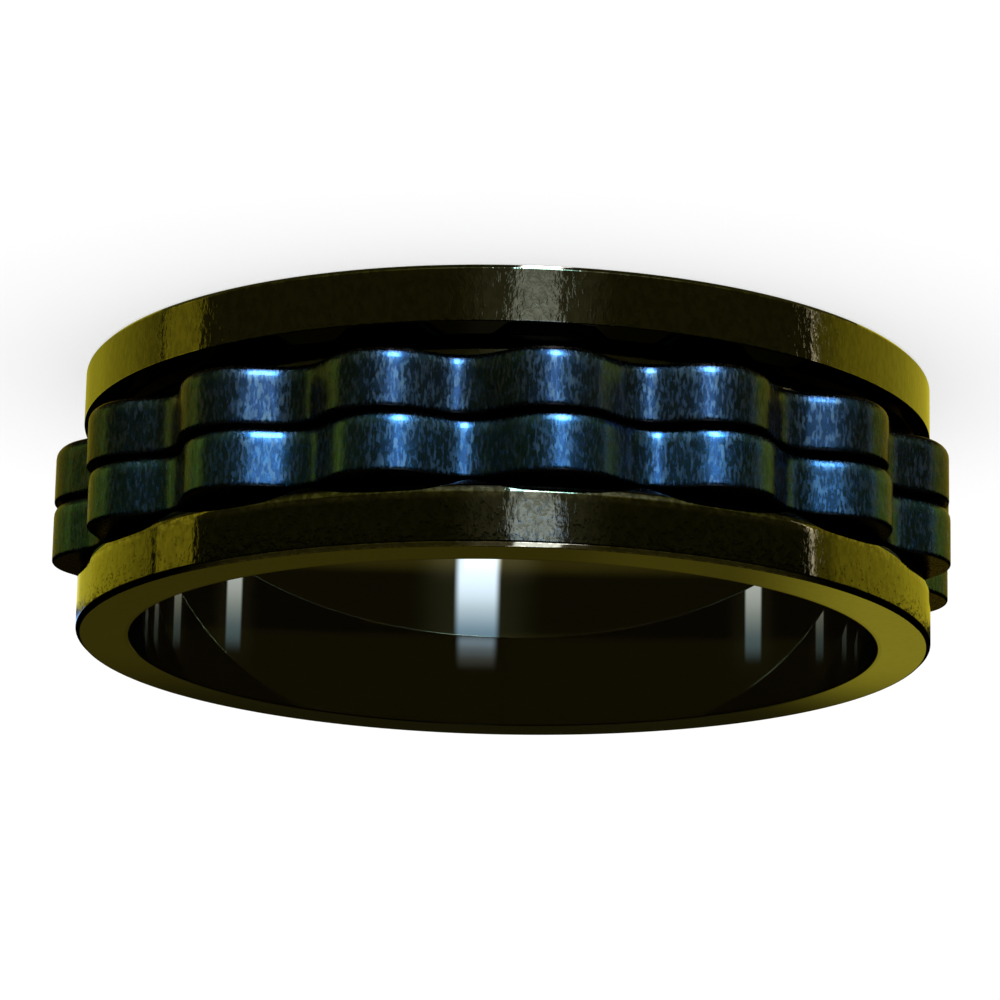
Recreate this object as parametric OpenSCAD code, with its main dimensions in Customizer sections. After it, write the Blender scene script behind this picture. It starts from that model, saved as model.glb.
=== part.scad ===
// Spinner ring: a black steel band with two plain flanges and, in the channel
// between them, two blue lobed rings that turn freely on the sleeve.
// The ring lies on its side with its axis along Z and its lower end face at Z = 0.

/* [Band] */
// Diameter of the bore that the finger goes through
bore_d = 22.2; // [15:0.2:25]
// Width of the whole ring along the finger
band_w = 8; // [6.6:0.1:12]
// Width of each flange
flange_w = 1.95; // [1.2:0.05:2.4]
// Wall of the band at a flange
flange_wall = 1.57; // [1.3:0.01:2.4]
// Wall of the sleeve under the spinners
sleeve_wall = 0.55; // [0.4:0.05:0.8]
// Bevel on each flange beside the channel
channel_bevel = 0.3; // [0.1:0.05:0.6]
// Small bevel on the outer rim of each end face
rim_break = 0.12; // [0.05:0.01:0.4]
// Small bevel where the bore meets each end face
bore_break = 0.12; // [0.05:0.01:0.4]

/* [End ring] */
// How far the sleeve steps down where the end ring is pressed on
seat_step = 0.2; // [0.1:0.05:0.3]
// Gap left between the end ring and its seat
seat_gap = 0.02; // [0.01:0.01:0.05]

/* [Spinners] */
// Number of lobes round each spinner
lobe_count = 16; // [12:1:22]
// How far the tips stand out past the flanges
tip_rise = 0.78; // [0.5:0.01:1.4]
// Depth from a tip to the valley beside it
lobe_depth = 1.05; // [0.5:0.05:1.3]
// Size of the lobes' arcs as a share of the largest that fit; 1 leaves no straight flank
lobe_fullness = 0.94; // [0.6:0.01:0.98]
// Radius of a tip's arc as a share of both arcs' radii; above 0.5 the tips are the broader ones
tip_share = 0.62; // [0.4:0.01:0.7]
// Small bevel on both edges of each tip
tip_break = 0.12; // [0.05:0.01:0.3]

/* [Clearances] */
// Gap all round between a spinner and the sleeve
running_gap = 0.06; // [0.03:0.01:0.1]
// Gap between the upper spinner and the flange above it
side_gap = 0.03; // [0.02:0.01:0.1]
// Gap between the two spinners
middle_gap = 0.07; // [0.03:0.01:0.15]
// Room left for the spinners to slide, between the lower one and the end ring
end_play = 0.5; // [0.05:0.05:0.8]

/* [Rest position] */
// Angle of the upper spinner's first lobe
upper_turn = -6.75; // [-11:0.05:11]
// Angle of the lower spinner's first lobe
lower_turn = -5.75; // [-11:0.05:11]

/* [Hidden] */
$fn = 128;

// Radii of the band
bore_r = bore_d / 2;
sleeve_r = bore_r + sleeve_wall;
seat_r = sleeve_r - seat_step;
flange_r = bore_r + flange_wall;

// Radii, width and places of the spinners, which share what the gaps leave of the channel
spinner_bore_r = sleeve_r + running_gap;
tip_r = flange_r + tip_rise;
valley_r = tip_r - lobe_depth;
channel_w = band_w - 2 * flange_w;
spinner_w = (channel_w - side_gap - middle_gap - end_play) / 2;
upper_z = band_w - flange_w - side_gap - spinner_w;
lower_z = upper_z - middle_gap - spinner_w;

// Arcs of the lobes. A straight flank runs from each tip's arc to the arc of the valley
// beside it. At full size the two arcs would touch each other. A flank's ends reach a
// little way into both arcs, so that it crosses them and doesn't only touch.
flank_bite = 0.01;
half_pitch = 180 / lobe_count;
valley_share = 1 - tip_share;
tip_to_valley_sq = tip_r ^ 2 + valley_r ^ 2 - 2 * tip_r * valley_r * cos(half_pitch);
arc_square = 2 * tip_share * valley_share * (1 - cos(half_pitch));
arc_linear = 2 * (tip_r * tip_share - valley_r * valley_share)
    + 2 * cos(half_pitch) * (tip_r * valley_share - valley_r * tip_share);
arc_root = sqrt(arc_linear ^ 2 + 4 * arc_square * tip_to_valley_sq);
both_arcs = lobe_fullness * (arc_root - arc_linear) / (2 * arc_square);
tip_arc = tip_share * both_arcs;
valley_arc = valley_share * both_arcs;
tip_centre = [tip_r - tip_arc, 0];
valley_centre = (valley_r + valley_arc) * [cos(half_pitch), sin(half_pitch)];
arc_centres = valley_centre - tip_centre;
flank_angle = direction(arc_centres) - acos(both_arcs / norm(arc_centres));
flank_normal = [cos(flank_angle), sin(flank_angle)];
flank_start = tip_centre + (tip_arc - flank_bite) * flank_normal;
flank_end = valley_centre - (valley_arc - flank_bite) * flank_normal;

function direction(v) = atan2(v[1], v[0]);
function turned(p, a) = [p[0] * cos(a) - p[1] * sin(a), p[0] * sin(a) + p[1] * cos(a)];
function mirrored(p) = [p[0], -p[1]];

// Corners of one lobe: both ends of each flank, in order round the ring
function lobe_corners(a) = [
    for (p = [mirrored(flank_end), mirrored(flank_start), flank_start, flank_end]) turned(p, a)
];

// Straight flanks joined round the ring, before the arcs
module flanks() {
    polygon([for (i = [0 : lobe_count - 1]) each lobe_corners(2 * half_pitch * i)]);
}

// One disc in each lobe, at a distance from the axis
module discs(distance, disc_r, first_angle) {
    for (i = [0 : lobe_count - 1])
        rotate(first_angle + 2 * half_pitch * i) translate([distance, 0]) circle(r = disc_r);
}

// Outline of a spinner: round lobes with round valleys between them
module lobed_outline() {
    difference() {
        union() {
            flanks();
            discs(tip_centre[0], tip_arc, 0);
        }
        discs(valley_r + valley_arc, valley_arc, half_pitch);
    }
}

// Bevels both edges of the tips, and leaves the valleys whole
module tip_bevels() {
    over = spinner_w / 2 - tip_break;
    widest = tip_r + over;
    rotate_extrude() polygon([
        [0, 0], [tip_r - tip_break, 0], [widest, spinner_w / 2],
        [tip_r - tip_break, spinner_w], [0, spinner_w]
    ]);
}

// One lobed ring, with its lower face at height z and its first lobe at an angle
module spinner(z, turn) {
    translate([0, 0, z]) rotate(turn) difference() {
        intersection() {
            linear_extrude(spinner_w) lobed_outline();
            tip_bevels();
        }
        translate([0, 0, -1]) cylinder(r = spinner_bore_r, h = spinner_w + 2);
    }
}

// Sleeve and upper flange in one piece, with a step below for the end ring
module band() {
    color("#1c1911") rotate_extrude() polygon([
        [bore_r + bore_break, 0],
        [seat_r, 0],
        [seat_r, flange_w + seat_gap],
        [sleeve_r, flange_w + seat_gap],
        [sleeve_r, band_w - flange_w],
        [flange_r - channel_bevel, band_w - flange_w],
        [flange_r, band_w - flange_w + channel_bevel],
        [flange_r, band_w - rim_break],
        [flange_r - rim_break, band_w],
        [bore_r + bore_break, band_w],
        [bore_r, band_w - bore_break],
        [bore_r, bore_break]
    ]);
}

// Lower flange, pressed on the sleeve after the spinners
module end_ring() {
    color("#1c1911") rotate_extrude() polygon([
        [seat_r + seat_gap, 0],
        [flange_r - rim_break, 0],
        [flange_r, rim_break],
        [flange_r, flange_w - channel_bevel],
        [flange_r - channel_bevel, flange_w],
        [seat_r + seat_gap, flange_w]
    ]);
}

module spinner_upper() {
    color("#23487c") spinner(upper_z, upper_turn);
}

module spinner_lower() {
    color("#23487c") spinner(lower_z, lower_turn);
}

band();
end_ring();
spinner_upper();
spinner_lower();
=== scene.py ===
"""Spinner ring: black band and blue lobed spinners, with stage, light and camera."""

import math

import bpy
import numpy as np
from mathutils import Matrix, Vector


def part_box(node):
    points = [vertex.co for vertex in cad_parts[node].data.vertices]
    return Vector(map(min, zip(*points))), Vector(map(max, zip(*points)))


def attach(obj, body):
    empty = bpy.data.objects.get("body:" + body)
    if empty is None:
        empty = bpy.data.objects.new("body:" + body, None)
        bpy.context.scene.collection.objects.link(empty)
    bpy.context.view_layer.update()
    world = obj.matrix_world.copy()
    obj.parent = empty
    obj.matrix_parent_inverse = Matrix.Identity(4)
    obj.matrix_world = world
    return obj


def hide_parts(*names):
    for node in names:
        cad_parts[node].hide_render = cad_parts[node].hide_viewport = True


MM = 0.001

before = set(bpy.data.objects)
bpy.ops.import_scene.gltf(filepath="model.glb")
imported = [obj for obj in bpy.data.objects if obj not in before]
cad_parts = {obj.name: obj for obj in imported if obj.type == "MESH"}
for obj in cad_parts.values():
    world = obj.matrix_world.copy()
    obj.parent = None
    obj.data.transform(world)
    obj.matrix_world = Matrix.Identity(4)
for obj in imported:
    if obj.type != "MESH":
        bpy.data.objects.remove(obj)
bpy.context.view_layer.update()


# Sizes of the dressed pieces, in millimetres. Heights come from the frame.
BORE_R = 11.1
SLEEVE_R = 11.65
SEAT_R = 11.45
SEAT_GAP = 0.02
FLANGE_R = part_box("band")[1].x / MM
CHANNEL_BEVEL = 0.3
RIM_BEVEL = 0.12
SPINNER_BORE_R = 11.71
TIP_R = 13.45
VALLEY_R = 12.4
LOBES = 16
LOBE_FULLNESS = 0.94
TIP_SHARE = 0.62
UPPER_TURN = -6.75
LOWER_TURN = -5.75

# Roundings, in millimetres
BEVEL_ROUNDING = 0.05
CHANNEL_ROUNDING = 0.38
BORE_ROUNDING = 0.025
HIDDEN_ROUNDING = 0.03
SPINNER_LOW_ROUNDING = 0.38
SPINNER_HIGH_ROUNDING = 0.08

# How finely the pieces are made. Beside each rounding lies one more point, at a share of the rounding.
ARC_STEPS = 6
SUPPORT = 0.5
RING_SLICES = 360
TIP_STEPS = 16
FLANK_STEPS = 3
VALLEY_STEPS = 8
WELD_DISTANCE = 0.001


# Outlines
def unit(vector):
    """Vector of length 1."""
    return vector / np.linalg.norm(vector)


def rounded_outline(corners):
    """Closed outline through corners given as (radius, height, rounding), and how worn each point is."""
    points, wear = [], []
    for i, (radius, height, rounding) in enumerate(corners):
        here = np.array([radius, height])
        back = unit(np.array(corners[i - 1][:2]) - here)
        ahead = unit(np.array(corners[(i + 1) % len(corners)][:2]) - here)
        half_turn = math.acos(np.clip(back @ ahead, -1, 1)) / 2
        reach = rounding / math.tan(half_turn)
        support = reach + rounding * SUPPORT
        centre = here + unit(back + ahead) * rounding / math.sin(half_turn)
        start = here + back * reach - centre
        end = here + ahead * reach - centre
        turn = math.pi - 2 * half_turn
        points.append(here + back * support)
        for share in np.linspace(0, 1, ARC_STEPS + 1):
            spun = math.sin((1 - share) * turn) * start + math.sin(share * turn) * end
            points.append(centre + spun / math.sin(turn))
        points.append(here + ahead * support)
        worn = 0 if rounding == HIDDEN_ROUNDING else 1
        wear += [0] + [worn] * (ARC_STEPS + 1) + [0]
    return np.array(points), wear


def lobe_outline():
    """Points and outward normals along one lobe, from the valley before it to the valley after it."""
    half_pitch = math.pi / LOBES
    cosine = math.cos(half_pitch)
    valley_share = 1 - TIP_SHARE
    square = 2 * TIP_SHARE * valley_share * (1 - cosine)
    linear = 2 * (TIP_R * TIP_SHARE - VALLEY_R * valley_share)
    linear += 2 * cosine * (TIP_R * valley_share - VALLEY_R * TIP_SHARE)
    span_sq = TIP_R**2 + VALLEY_R**2 - 2 * TIP_R * VALLEY_R * cosine
    both_arcs = LOBE_FULLNESS * (math.sqrt(linear**2 + 4 * square * span_sq) - linear) / (2 * square)
    tip_arc = TIP_SHARE * both_arcs
    valley_arc = valley_share * both_arcs
    tip_centre = np.array([TIP_R - tip_arc, 0.0])
    valley_centre = (VALLEY_R + valley_arc) * np.array([cosine, math.sin(half_pitch)])
    between = valley_centre - tip_centre
    flank = math.atan2(between[1], between[0]) - math.acos(both_arcs / np.linalg.norm(between))
    points, normals = [], []
    for a in np.linspace(0, flank, TIP_STEPS + 1):
        normals.append([math.cos(a), math.sin(a)])
        points.append(tip_centre + tip_arc * np.array(normals[-1]))
    normal = np.array(normals[-1])
    flank_end = valley_centre - valley_arc * normal
    for share in np.linspace(0, 1, FLANK_STEPS + 1)[1:]:
        normals.append(normal)
        points.append((1 - share) * points[TIP_STEPS] + share * flank_end)
    for a in np.linspace(flank, half_pitch, VALLEY_STEPS + 1)[1:]:
        normals.append([math.cos(a), math.sin(a)])
        points.append(valley_centre - valley_arc * np.array(normals[-1]))
    points, normals = np.array(points), np.array(normals)
    mirror = np.array([1, -1])
    return (
        np.vstack([points[:0:-1] * mirror, points]),
        np.vstack([normals[:0:-1] * mirror, normals]),
    )


# Slices: one step of a turned ring, and one lobe of a spinner
def slice_mesh(name, columns, wear):
    """Mesh of a slice from its rows of points round the section, first row to last row."""
    rows, around, _ = columns.shape
    vertices = columns.reshape(-1, 3) * MM
    faces = []
    for row in range(rows - 1):
        for step in range(around):
            a = row * around + step
            b = row * around + (step + 1) % around
            faces.append((a, a + around, b + around, b))
    mesh = bpy.data.meshes.new(name)
    mesh.from_pydata(vertices.tolist(), [], faces)
    mesh.attributes.new("wear", "FLOAT", "POINT").data.foreach_set("value", list(wear) * rows)
    return mesh


def turned_slice(name, corners):
    """Slice of a ring turned from a rounded section."""
    section, wear = rounded_outline(corners)
    rows = []
    for a in (-math.pi / RING_SLICES, math.pi / RING_SLICES):
        rows.append([(r * math.cos(a), r * math.sin(a), z) for r, z in section])
    return slice_mesh(name, np.array(rows), wear)


def lobe_edge(rounding):
    """Rounded edge of a lobe, from the flat face to the wall: steps in from the wall and off the face."""
    arc = np.linspace(0, math.pi / 2, ARC_STEPS + 1)
    inset = [(1 + SUPPORT) * rounding, *(rounding * (1 - np.sin(arc))), 0]
    rise = [0, *(rounding * (1 - np.cos(arc))), (1 + SUPPORT) * rounding]
    return list(zip(inset, rise))


def lobe_slice(name, low, high):
    """Slice of a spinner with one lobe, between two heights."""
    outer = [(inset, low + rise) for inset, rise in lobe_edge(SPINNER_LOW_ROUNDING)]
    outer += [(0, (low + high) / 2)]
    outer += [(inset, high - rise) for inset, rise in lobe_edge(SPINNER_HIGH_ROUNDING)[::-1]]
    inner = [
        (SPINNER_BORE_R + 2 * HIDDEN_ROUNDING, high),
        (SPINNER_BORE_R + HIDDEN_ROUNDING, high),
        (SPINNER_BORE_R, high - HIDDEN_ROUNDING),
        (SPINNER_BORE_R, low + HIDDEN_ROUNDING),
        (SPINNER_BORE_R + HIDDEN_ROUNDING, low),
        (SPINNER_BORE_R + 2 * HIDDEN_ROUNDING, low),
    ]
    worn = [1] * (ARC_STEPS + 1)
    wear = [0, *worn, 0, 0, 0, *worn, 0] + [0] * len(inner)
    rows = []
    for point, normal in zip(*lobe_outline()):
        a = math.atan2(point[1], point[0])
        row = [(*(point - normal * i), z) for i, z in outer]
        row += [(r * math.cos(a), r * math.sin(a), z) for r, z in inner]
        rows.append(row)
    return slice_mesh(name, np.array(rows), wear)


# Geometry nodes: a ring made of equal slices
def add(tree, kind, **values):
    """New node with its properties, or its inputs by name, set."""
    node = tree.nodes.new(kind)
    for name, value in values.items():
        if hasattr(node, name):
            setattr(node, name, value)
        else:
            node.inputs[name.replace("_", " ")].default_value = value
    return node


def sliced_ring_tree():
    """Node tree that repeats a slice round the axis, welds it and gives it its finish."""
    tree = bpy.data.node_groups.new("Ring of slices", "GeometryNodeTree")
    for name, kind in (
        ("Slice", "NodeSocketGeometry"),
        ("Slices", "NodeSocketInt"),
        ("First turn", "NodeSocketFloat"),
        ("Weld distance", "NodeSocketFloat"),
        ("Finish", "NodeSocketMaterial"),
    ):
        tree.interface.new_socket(name, in_out="INPUT", socket_type=kind)
    tree.interface.new_socket("Ring", in_out="OUTPUT", socket_type="NodeSocketGeometry")
    link = tree.links.new
    given = add(tree, "NodeGroupInput")
    result = add(tree, "NodeGroupOutput")
    points = add(tree, "GeometryNodePoints")
    index = add(tree, "GeometryNodeInputIndex")
    step = add(tree, "ShaderNodeMath", operation="DIVIDE")
    step.inputs[0].default_value = math.tau
    angle = add(tree, "ShaderNodeMath", operation="MULTIPLY_ADD")
    turn = add(tree, "ShaderNodeCombineXYZ")
    copies = add(tree, "GeometryNodeInstanceOnPoints")
    real = add(tree, "GeometryNodeRealizeInstances")
    weld = add(tree, "GeometryNodeMergeByDistance")
    smooth = add(tree, "GeometryNodeSetShadeSmooth")
    finish = add(tree, "GeometryNodeSetMaterial")
    link(given.outputs["Slices"], points.inputs["Count"])
    link(given.outputs["Slices"], step.inputs[1])
    link(index.outputs[0], angle.inputs[0])
    link(step.outputs[0], angle.inputs[1])
    link(given.outputs["First turn"], angle.inputs[2])
    link(angle.outputs[0], turn.inputs["Z"])
    link(points.outputs[0], copies.inputs["Points"])
    link(given.outputs["Slice"], copies.inputs["Instance"])
    link(turn.outputs[0], copies.inputs["Rotation"])
    link(copies.outputs[0], real.inputs[0])
    link(real.outputs[0], weld.inputs["Geometry"])
    link(given.outputs["Weld distance"], weld.inputs["Distance"])
    link(weld.outputs[0], smooth.inputs["Geometry"])
    link(smooth.outputs[0], finish.inputs["Geometry"])
    link(given.outputs["Finish"], finish.inputs["Material"])
    link(finish.outputs[0], result.inputs[0])
    return tree


def ring_of_slices(mesh, slices, first_turn, finish):
    """Plain mesh object made of a slice repeated round the axis."""
    piece = bpy.data.objects.new(mesh.name, mesh)
    bpy.context.scene.collection.objects.link(piece)
    modifier = piece.modifiers.new("Ring of slices", "NODES")
    modifier.node_group = RING_TREE
    sockets = {s.name: s.identifier for s in RING_TREE.interface.items_tree if s.in_out == "INPUT"}
    modifier[sockets["Slices"]] = slices
    modifier[sockets["First turn"]] = math.radians(first_turn)
    modifier[sockets["Weld distance"]] = WELD_DISTANCE * MM
    modifier[sockets["Finish"]] = finish
    evaluated = piece.evaluated_get(bpy.context.evaluated_depsgraph_get())
    whole = bpy.data.meshes.new_from_object(evaluated)
    whole.name = mesh.name
    piece.modifiers.clear()
    piece.data = whole
    bpy.data.meshes.remove(mesh)
    return piece


# Shader nodes
def math_node(tree, operation, *values):
    """Math node on numbers or outputs; returns its output."""
    node = tree.nodes.new("ShaderNodeMath")
    node.operation = operation
    for socket, value in zip(node.inputs, values):
        if isinstance(value, (int, float)):
            socket.default_value = value
        else:
            tree.links.new(value, socket)
    return node.outputs[0]


def ramp(tree, value, start, end):
    """Smooth rise from 0 at start to 1 at end."""
    node = tree.nodes.new("ShaderNodeMapRange")
    node.interpolation_type = "SMOOTHSTEP"
    node.inputs["From Min"].default_value = min(start, end)
    node.inputs["From Max"].default_value = max(start, end)
    node.inputs["To Min"].default_value = 0 if start < end else 1
    node.inputs["To Max"].default_value = 1 if start < end else 0
    tree.links.new(value, node.inputs["Value"])
    return node.outputs["Result"]


def window(tree, value, low, high, soft):
    """1 between two values and 0 outside, with soft edges."""
    rise = ramp(tree, value, low - soft, low + soft)
    fall = ramp(tree, value, high + soft, high - soft)
    return math_node(tree, "MULTIPLY", rise, fall)


def glow(tree, amount, colour):
    """Colour times an amount, as a vector."""
    node = tree.nodes.new("ShaderNodeVectorMath")
    node.operation = "SCALE"
    node.inputs[0].default_value = colour
    tree.links.new(amount, node.inputs["Scale"])
    return node.outputs[0]


def total(tree, vectors):
    """Sum of several vectors."""
    so_far = vectors[0]
    for vector in vectors[1:]:
        node = tree.nodes.new("ShaderNodeVectorMath")
        node.operation = "ADD"
        tree.links.new(so_far, node.inputs[0])
        tree.links.new(vector, node.inputs[1])
        so_far = node.outputs[0]
    return so_far


# Colours of the finishes, and how metallic they are
METALLIC = 0.998
BLACK_DEEP = (0.063, 0.062, 0.05)
BLACK_LIGHT = (0.086, 0.084, 0.069)
WORN_EDGE = (0.16, 0.155, 0.135)
BARE_BORE = (0.44, 0.39, 0.31)
# Painted shade for the bore's edge roundings
BORE_EDGE_PAINTED_SHADE = (0.002, 0.002, 0.0015)
# Painted shade for the sloping shoulders inside the channel
CHANNEL_PAINTED_SHADE = (0.008, 0.008, 0.006)
BLUE_FLECK = (0.3, 0.3, 0.22)
# Painted shade for the spinners' flat faces in the gaps between the parts
BLUE_GAP_PAINTED_SHADE = (0.006, 0.007, 0.009)
BLUE_TINT = (0.7, 0.62, 0.6, 1)
# Lit and shaded copies of one blue plating: the upper spinner's lighter tones are painted light and the
# lower spinner's darker tones painted shade, for the difference in how light falls on them
LIT_BLUE_TONES = ((0.026, 0.07, 0.225), (0.039, 0.118, 0.335))
SHADED_BLUE_TONES = ((0.021, 0.045, 0.135), (0.033, 0.073, 0.21))

# Where the finishes change on the band, in millimetres: radii round the bore, the channel's heights where
# shade is painted on its shoulders, and the heights between which the bump gets weaker
BORE_FINISH = (11.24, 11.215)
CHANNEL_HEIGHTS = (1.5, 6.5)
CHANNEL_FADE = 0.1
SMOOTHER_HEIGHTS = (5, 6)

# Roughness and depth of the bump, in millimetres
POLISHED = 0.035
NICKED = 0.11
BORE_SMOOTHING = -0.025
BLUE_BRUSHED = 0.24
BLUE_BARE = 0.4
BLACK_BUMP = 0.0018
BLUE_BUMP = 0.0045


# Finishes
def new_finish(name):
    """Empty material, its tree and its shader."""
    material = bpy.data.materials.new(name)
    material.use_nodes = True
    tree = material.node_tree
    return material, tree, tree.nodes["Principled BSDF"]


def grain(tree, across, along, detail):
    """Noise with marks of one size across and another along the axis, in millimetres."""
    place = add(tree, "ShaderNodeTexCoord")
    stretch = add(tree, "ShaderNodeMapping", vector_type="POINT")
    stretch.inputs["Scale"].default_value = (1 / (across * MM), 1 / (across * MM), 1 / (along * MM))
    noise = add(tree, "ShaderNodeTexNoise", Scale=1.0, Detail=detail, Roughness=0.6)
    tree.links.new(place.outputs["Object"], stretch.inputs[0])
    tree.links.new(stretch.outputs[0], noise.inputs["Vector"])
    return noise.outputs[0]


def blend_colours(tree, share, first, second):
    """Colour between two colours or outputs."""
    node = add(tree, "ShaderNodeMix", data_type="RGBA")
    for socket, colour in ((node.inputs[6], first), (node.inputs[7], second)):
        if isinstance(colour, tuple):
            socket.default_value = (*colour, 1)
        else:
            tree.links.new(colour, socket)
    tree.links.new(share, node.inputs[0])
    return node.outputs[2]


def blend_numbers(tree, share, first, second):
    """Number between two numbers."""
    return math_node(tree, "MULTIPLY_ADD", share, second - first, first)


def raise_surface(tree, shader, height, depth, strength):
    """Bump of a height from 0 to 1, with its depth in millimetres and a strength for each place."""
    bump = add(tree, "ShaderNodeBump", Distance=depth * MM)
    tree.links.new(strength, bump.inputs["Strength"])
    tree.links.new(height, bump.inputs["Height"])
    tree.links.new(bump.outputs[0], shader.inputs["Normal"])


def height(tree):
    """Height of a point of the surface."""
    place = add(tree, "ShaderNodeTexCoord")
    split = add(tree, "ShaderNodeSeparateXYZ")
    tree.links.new(place.outputs["Object"], split.inputs[0])
    return split.outputs["Z"]


def distance_from_axis(tree):
    """How far a point of the surface is from the ring's axis."""
    place = add(tree, "ShaderNodeTexCoord")
    flat = add(tree, "ShaderNodeVectorMath", operation="MULTIPLY")
    flat.inputs[1].default_value = (1, 1, 0)
    radius = add(tree, "ShaderNodeVectorMath", operation="LENGTH")
    tree.links.new(place.outputs["Object"], flat.inputs[0])
    tree.links.new(flat.outputs[0], radius.inputs[0])
    return radius.outputs["Value"]


def steepness(tree):
    """How far the surface faces along the axis: 0 on a wall, 1 on a flat face."""
    facing = add(tree, "ShaderNodeNewGeometry")
    split = add(tree, "ShaderNodeSeparateXYZ")
    tree.links.new(facing.outputs["Normal"], split.inputs[0])
    return math_node(tree, "ABSOLUTE", split.outputs["Z"])


def black_steel():
    """Black plated steel, polished and nicked, bare in the bore and at worn edges, with painted shade on
    the bore's edge roundings and on the channel's shoulders.
    """
    material, tree, shader = new_finish("Black plated steel")
    bore = ramp(tree, distance_from_axis(tree), *(radius * MM for radius in BORE_FINISH))
    steep = steepness(tree)
    worn = add(tree, "ShaderNodeAttribute", attribute_name="wear")
    patchy = ramp(tree, grain(tree, 0.2, 0.2, 2), 0.45, 0.6)
    wear = math_node(tree, "MULTIPLY", worn.outputs["Fac"], patchy)
    mottle = ramp(tree, grain(tree, 0.2, 0.3, 2), 0.34, 0.66)
    nicks = ramp(tree, grain(tree, 0.13, 0.36, 2), 0.52, 0.66)
    plating = blend_colours(tree, mottle, BLACK_DEEP, BLACK_LIGHT)
    edge = blend_colours(tree, wear, plating, WORN_EDGE)
    # Painted shade: the sloping shoulders inside the channel between the flanges are coloured near black
    channel_low, channel_high = CHANNEL_HEIGHTS
    between = window(tree, height(tree), channel_low * MM, channel_high * MM, CHANNEL_FADE * MM)
    channel_shade_mask = math_node(tree, "MULTIPLY", between, ramp(tree, steep, 0.42, 0.6))
    outside = blend_colours(tree, channel_shade_mask, edge, CHANNEL_PAINTED_SHADE)
    # Painted shade: the bore's edge roundings are coloured near black, while its wall stays bare steel
    inside = blend_colours(tree, ramp(tree, steep, 0.002, 0.01), BARE_BORE, BORE_EDGE_PAINTED_SHADE)
    colour = blend_colours(tree, bore, outside, inside)
    scuffed = math_node(tree, "SUBTRACT", ramp(tree, steep, 0.6, 0.3), bore)
    marks = math_node(tree, "MULTIPLY", nicks, scuffed)
    nicked = blend_numbers(tree, marks, POLISHED, NICKED)
    roughness = math_node(tree, "MULTIPLY_ADD", bore, BORE_SMOOTHING, nicked)
    tree.links.new(colour, shader.inputs["Base Color"])
    tree.links.new(roughness, shader.inputs["Roughness"])
    shader.inputs["Metallic"].default_value = METALLIC
    relief = math_node(tree, "ADD", mottle, nicks)
    upward = ramp(tree, height(tree), *(level * MM for level in SMOOTHER_HEIGHTS))
    strength = math_node(tree, "MULTIPLY", scuffed, blend_numbers(tree, upward, 0.6, 0.3))
    raise_surface(tree, shader, relief, BLACK_BUMP, strength)
    return material


def blue_steel(name, deep, light):
    """Blue plated steel between two tones, brushed along the axis and worn thin in places, with painted
    shade on its flat faces between the parts.
    """
    material, tree, shader = new_finish(name)
    worn = add(tree, "ShaderNodeAttribute", attribute_name="wear")
    brushing = grain(tree, 0.1, 0.35, 1)
    shade = ramp(tree, brushing, 0.3, 0.7)
    plating = blend_colours(tree, shade, deep, light)
    bare = ramp(tree, grain(tree, 0.08, 0.26, 2), 0.42, 0.76)
    # Painted shade: the spinners' flat faces, which lie in the gaps between the parts, are coloured near
    # black
    flat = ramp(tree, steepness(tree), 0.45, 0.62)
    wall = blend_colours(tree, math_node(tree, "MULTIPLY", bare, 0.24), plating, BLUE_FLECK)
    colour = blend_colours(tree, flat, wall, BLUE_GAP_PAINTED_SHADE)
    tree.links.new(colour, shader.inputs["Base Color"])
    shader.inputs["Metallic"].default_value = METALLIC
    shader.inputs["Specular Tint"].default_value = BLUE_TINT
    tree.links.new(blend_numbers(tree, bare, BLUE_BRUSHED, BLUE_BARE), shader.inputs["Roughness"])
    strength = blend_numbers(tree, worn.outputs["Fac"], 1.0, 0.25)
    raise_surface(tree, shader, brushing, BLUE_BUMP, strength)
    return material


# Pieces
RING_TREE = sliced_ring_tree()
BLACK = black_steel()
# Painted light: one lit and one shaded copy of the same blue finish
PAINTED_LIT_BLUE = blue_steel("Blue plated steel painted lit", *LIT_BLUE_TONES)
PAINTED_SHADED_BLUE = blue_steel("Blue plated steel painted shaded", *SHADED_BLUE_TONES)

band_low, band_high = (corner.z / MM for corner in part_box("band"))
end_low, end_high = (corner.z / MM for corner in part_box("end_ring"))
flange_low = band_high - (end_high - end_low)


def make_band():
    """Sleeve with the upper flange."""
    corners = [
        (BORE_R, band_low, BORE_ROUNDING),
        (SEAT_R, band_low, HIDDEN_ROUNDING),
        (SEAT_R, end_high + SEAT_GAP, HIDDEN_ROUNDING),
        (SLEEVE_R, end_high + SEAT_GAP, HIDDEN_ROUNDING),
        (SLEEVE_R, flange_low, HIDDEN_ROUNDING),
        (FLANGE_R - CHANNEL_BEVEL, flange_low, BEVEL_ROUNDING),
        (FLANGE_R, flange_low + CHANNEL_BEVEL, CHANNEL_ROUNDING),
        (FLANGE_R, band_high - RIM_BEVEL, BEVEL_ROUNDING),
        (FLANGE_R - RIM_BEVEL, band_high, BEVEL_ROUNDING),
        (BORE_R, band_high, BORE_ROUNDING),
    ]
    piece = ring_of_slices(turned_slice("band_dressed", corners), RING_SLICES, 0, BLACK)
    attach(piece, "band")
    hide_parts("band")


def make_end_ring():
    """Lower flange, pressed on the sleeve."""
    inner = SEAT_R + SEAT_GAP
    corners = [
        (inner, end_low, HIDDEN_ROUNDING),
        (FLANGE_R - RIM_BEVEL, end_low, BEVEL_ROUNDING),
        (FLANGE_R, end_low + RIM_BEVEL, BEVEL_ROUNDING),
        (FLANGE_R, end_high - CHANNEL_BEVEL, BEVEL_ROUNDING),
        (FLANGE_R - CHANNEL_BEVEL, end_high, BEVEL_ROUNDING),
        (inner, end_high, HIDDEN_ROUNDING),
    ]
    piece = ring_of_slices(turned_slice("end_ring_dressed", corners), RING_SLICES, 0, BLACK)
    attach(piece, "band")
    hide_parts("end_ring")


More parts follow.
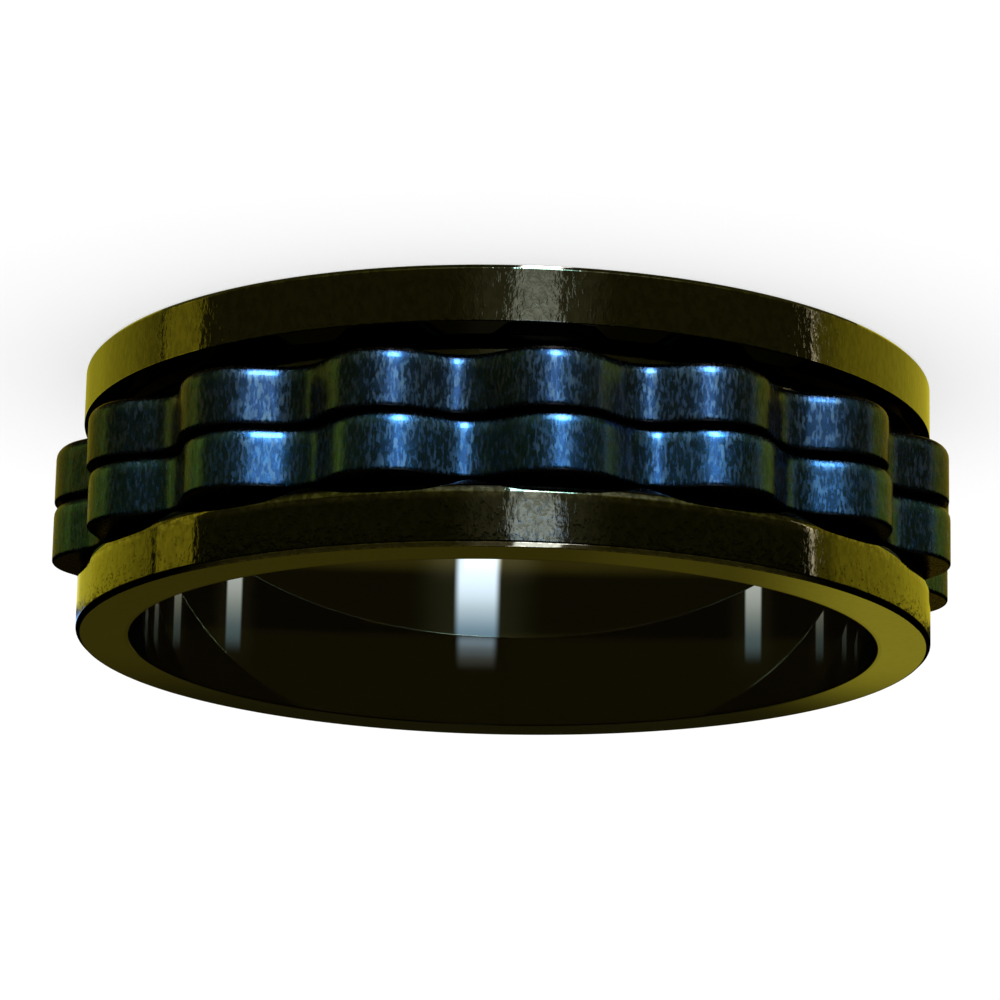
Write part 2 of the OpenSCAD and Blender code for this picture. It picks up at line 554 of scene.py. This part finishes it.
def make_spinner(name, node, body, turn, finish):
    """One lobed spinner, between the heights of its node."""
    low, high = (corner.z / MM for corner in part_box(node))
    piece = ring_of_slices(lobe_slice(name, low, high), LOBES, turn, finish)
    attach(piece, body)
    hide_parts(node)


make_band()
make_end_ring()
# The upper spinner takes the painted lit copy of the blue, the lower one the painted shaded copy
make_spinner("spinner_upper_dressed", "spinner_upper", "upper_spinner", UPPER_TURN, PAINTED_LIT_BLUE)
make_spinner("spinner_lower_dressed", "spinner_lower", "lower_spinner", LOWER_TURN, PAINTED_SHADED_BLUE)


# Stage: a plain pale floor, and a room round the ring that only its gloss can see
FLOOR_HALF = 0.6
FLOOR_GREY = 0.42
FLOOR_GLOW = 0.6
ROOM_RADIUS = 8.0
STUDIO_LIGHT = 1.08


def make_floor():
    """Pale floor under the ring."""
    corners = [(x * FLOOR_HALF, y * FLOOR_HALF, 0) for x, y in ((-1, -1), (1, -1), (1, 1), (-1, 1))]
    mesh = bpy.data.meshes.new("Floor")
    mesh.from_pydata(corners, [], [(0, 1, 2, 3)])
    floor = bpy.data.objects.new("Floor", mesh)
    bpy.context.scene.collection.objects.link(floor)
    material, _, shader = new_finish("Pale floor")
    shader.inputs["Base Color"].default_value = (FLOOR_GREY, FLOOR_GREY, FLOOR_GREY, 1)
    shader.inputs["Emission Color"].default_value = (1, 1, 1, 1)
    shader.inputs["Emission Strength"].default_value = FLOOR_GLOW
    shader.inputs["Roughness"].default_value = 1
    shader.inputs["Specular IOR Level"].default_value = 0
    mesh.materials.append(material)
    floor.visible_glossy = False


# What the gloss sees: windows of light as (around low, high, soft, below low, high, soft, colour).
# Degrees round from the camera's side, 180 behind the ring, and degrees below the horizon.
ROOM_LIGHTS = (
    # Bright column on the flanges
    (1, 13, 0.8, 13.9, 30, 0.3, (0.8, 0.9, 0.85)),
    (1, 13, 0.8, 13.9, 17.3, 0.3, (0.5, 0.55, 0.5)),
    # Streak in the bore
    (2, 15, 1.3, 12.75, 13.95, 0.15, (0.25, 0.5, 0.85)),
    (2, 15, 1.3, 13.15, 14.6, 0.3, (0.95, 1.2, 1.5)),
    (2, 15, 1.3, 13.45, 14.05, 0.25, (0.7, 0.9, 1.4)),
    # Haze beside both
    (-9, 23, 6, 13.9, 30, 0.4, (0.13, 0.13, 0.08)),
    (-6, 24, 8, 12.6, 14.2, 0.3, (0.018, 0.022, 0.014)),
    # Tall lamp for the spinners, with a faint wide surround
    (2, 18.5, 1.5, 28, 60, 2, (13, 27, 28)),
    (6.5, 14.5, 1.5, 28, 56, 2, (18, 22, 15)),
    (5, 28, 2, 60, 74, 2, (12, 14, 14)),
    (-20, 50, 15, 28, 75, 3, (0.3, 0.32, 0.3)),
    (-70, 80, 12, 22, 60, 2, (0.15, 0.16, 0.03)),
    # Lamp low behind, for bevels that face down
    (165, 176.4, 1, 68, 84, 1, (18, 18, 18)),
    # Light overhead, for bevels that face up
    (6.2, 34.5, 1.5, -92, -61, 2, (10, 10.5, 11)),
    (-24, 47, 8, -85, -66, 3, (0.3, 0.26, 0.18)),
    (-180, 180, 1, -92, -45, 8, (0.15, 0.13, 0.025)),
    # End of the bore's streak, by its second reflection
    (-175, -152, 2.6, 12.56, 12.93, 0.07, (0.13, 0.18, 0.24)),
    (-175, -152, 2.6, 12.68, 12.93, 0.07, (0.2, 0.35, 0.65)),
    (-175, -152, 2.6, 12.8, 12.93, 0.07, (0.35, 0.65, 1.3)),
    # Olive wall on the right, with a bright crack before it
    (88.5, 89.6, 0.4, 13.2, 32, 0.08, (3.4, 3, 2.2)),
    (89.8, 143, 0.3, 13.2, 32, 0.08, (0.36, 0.3, 0.015)),
    (98, 143, 3, 13.2, 32, 0.08, (0.27, 0.23, 0.01)),
    (143, 176, 1, 13.08, 32, 0.08, (0.6, 0.5, 0.025)),
    (104, 150, 8, 13.2, 32, 0.08, (0.1, 0.085, 0.002)),
    (96, 143, 3, 13.2, 15.2, 0.08, (0.12, 0.1, 0.004)),
    # Olive wall on the left
    (-105.5, -90.3, 0.5, 13.2, 32, 0.08, (0.78, 0.66, 0.03)),
    (-143, -107.5, 0.8, 13.2, 32, 0.08, (0.36, 0.31, 0.012)),
    (-176, -143, 1, 13.08, 32, 0.08, (0.38, 0.33, 0.012)),
    (-150, -117, 8, 13.2, 32, 0.08, (0.2, 0.17, 0.004)),
    (-143, -107.5, 0.8, 13.2, 15.2, 0.08, (0.3, 0.26, 0.012)),
    (-176, -143, 1, 13.08, 15.2, 0.08, (0.36, 0.32, 0.03)),
    (-178, -163, 3, 13.08, 15.2, 0.08, (0.2, 0.2, 0.15)),
    (-105.5, -90.3, 0.5, 13.2, 15.2, 0.08, (0.3, 0.26, 0.012)),
    # Glow behind, for the end face
    (160, 176.1, 1, -17, -12.32, 0.28, (0.42, 0.37, 0.026)),
    (168, 178.8, 0.6, -17, -12.32, 0.28, (0.05, 0.04, 0.003)),
    (165, 195, 4, -17, -12.32, 0.28, (0.07, 0.058, 0.003)),
    (165, 195, 4, -17, -9, 1, (0.02, 0.018, 0.004)),
    # The dark room itself
    (-180, 180, 1, 13.75, 80, 0.1, (0.054, 0.05, 0.009)),
    (-180, 180, 1, 9, 13.75, 0.1, (0.0075, 0.007, 0.001)),
    (-180, 180, 1, 9, 12.93, 0.05, (0.014, 0.015, 0.003)),
    (-180, 180, 1, 15.6, 80, 0.9, (0.026, 0.022, 0.003)),
)


def directions(tree):
    """Degrees round from the camera's side, degrees round from behind, and degrees below the horizon."""
    place = add(tree, "ShaderNodeTexCoord")
    unit_place = add(tree, "ShaderNodeVectorMath", operation="NORMALIZE")
    split = add(tree, "ShaderNodeSeparateXYZ")
    tree.links.new(place.outputs["Object"], unit_place.inputs[0])
    tree.links.new(unit_place.outputs[0], split.inputs[0])
    x, y, z = split.outputs
    degrees = 180 / math.pi
    behind = math_node(tree, "MULTIPLY", math_node(tree, "ARCTAN2", x, y), degrees)
    minus_x = math_node(tree, "MULTIPLY", x, -1)
    minus_y = math_node(tree, "MULTIPLY", y, -1)
    around = math_node(tree, "MULTIPLY", math_node(tree, "ARCTAN2", minus_x, minus_y), degrees)
    below = math_node(tree, "MULTIPLY", math_node(tree, "ARCSINE", z), -degrees)
    return around, behind, below


def room_light(tree):
    """Sum of all windows of light, as a colour."""
    around, behind, below = directions(tree)
    lights = []
    for left, right, side_soft, high, low, end_soft, colour in ROOM_LIGHTS:
        if right > 180:
            across = window(tree, behind, left - 180, right - 180, side_soft)
        else:
            across = window(tree, around, left, right, side_soft)
        amount = math_node(tree, "MULTIPLY", across, window(tree, below, high, low, end_soft))
        lights.append(glow(tree, amount, colour))
    return total(tree, lights)


def make_room():
    """Dark room with soft windows of light, seen only in the gloss."""
    bpy.ops.mesh.primitive_uv_sphere_add(segments=48, ring_count=24, radius=ROOM_RADIUS)
    room = bpy.context.object
    room.name = "Room"
    material = bpy.data.materials.new("Room light")
    material.use_nodes = True
    tree = material.node_tree
    tree.nodes.clear()
    emission = add(tree, "ShaderNodeEmission")
    output = add(tree, "ShaderNodeOutputMaterial")
    tree.links.new(room_light(tree), emission.inputs["Color"])
    tree.links.new(emission.outputs[0], output.inputs["Surface"])
    material.cycles.emission_sampling = "NONE"
    room.data.materials.append(material)
    room.visible_camera = False
    room.visible_diffuse = False
    room.visible_shadow = False
    room.visible_transmission = False


def make_world():
    """Plain white light all round for the floor; the gloss sees the room instead."""
    world = bpy.data.worlds.new("Studio")
    world.use_nodes = True
    background = world.node_tree.nodes["Background"]
    background.inputs["Color"].default_value = (1, 1, 1, 1)
    background.inputs["Strength"].default_value = STUDIO_LIGHT
    world.cycles_visibility.glossy = False
    bpy.context.scene.world = world


# Camera: the photograph's angle to the ring, from above the floor, and turned over
CAMERA_ELEVATION = 14.4
CAMERA_DISTANCE = 136.7
CAMERA_TILT = 1.17
FOCAL_PIXELS = 4563.0
RING_IN_PICTURE = (5.3, 18.8)
PICTURE_PIXELS = 1000.0


def make_camera():
    """Camera that shows the ring as the photograph does."""
    elevation = math.radians(CAMERA_ELEVATION)
    tilt = math.radians(CAMERA_TILT)
    right = Vector((-1, 0, 0))
    up = Vector((0, -math.sin(elevation), -math.cos(elevation)))
    ahead = Vector((0, math.cos(elevation), -math.sin(elevation)))
    across = math.cos(tilt) * right + math.sin(tilt) * up
    upward = math.cos(tilt) * up - math.sin(tilt) * right
    middle = Vector((0, 0, (band_low + band_high) / 2 * MM))
    data = bpy.data.cameras.new("Camera")
    data.sensor_width = 36
    data.lens = data.sensor_width * FOCAL_PIXELS / PICTURE_PIXELS
    data.clip_start = 0.01
    data.clip_end = 10
    camera = bpy.data.objects.new("Camera", data)
    bpy.context.scene.collection.objects.link(camera)
    aim = FOCAL_PIXELS * ahead - RING_IN_PICTURE[0] * across + RING_IN_PICTURE[1] * upward
    aim.normalize()
    across = (across - across.dot(aim) * aim).normalized()
    upward = across.cross(aim)
    turn = Matrix((across, upward, -aim)).transposed()
    camera.matrix_world = Matrix.Translation(middle - ahead * CAMERA_DISTANCE * MM) @ turn.to_4x4()
    bpy.context.scene.camera = camera


make_floor()
make_room()
make_world()
make_camera()
bpy.context.scene.view_settings.view_transform = "Standard"
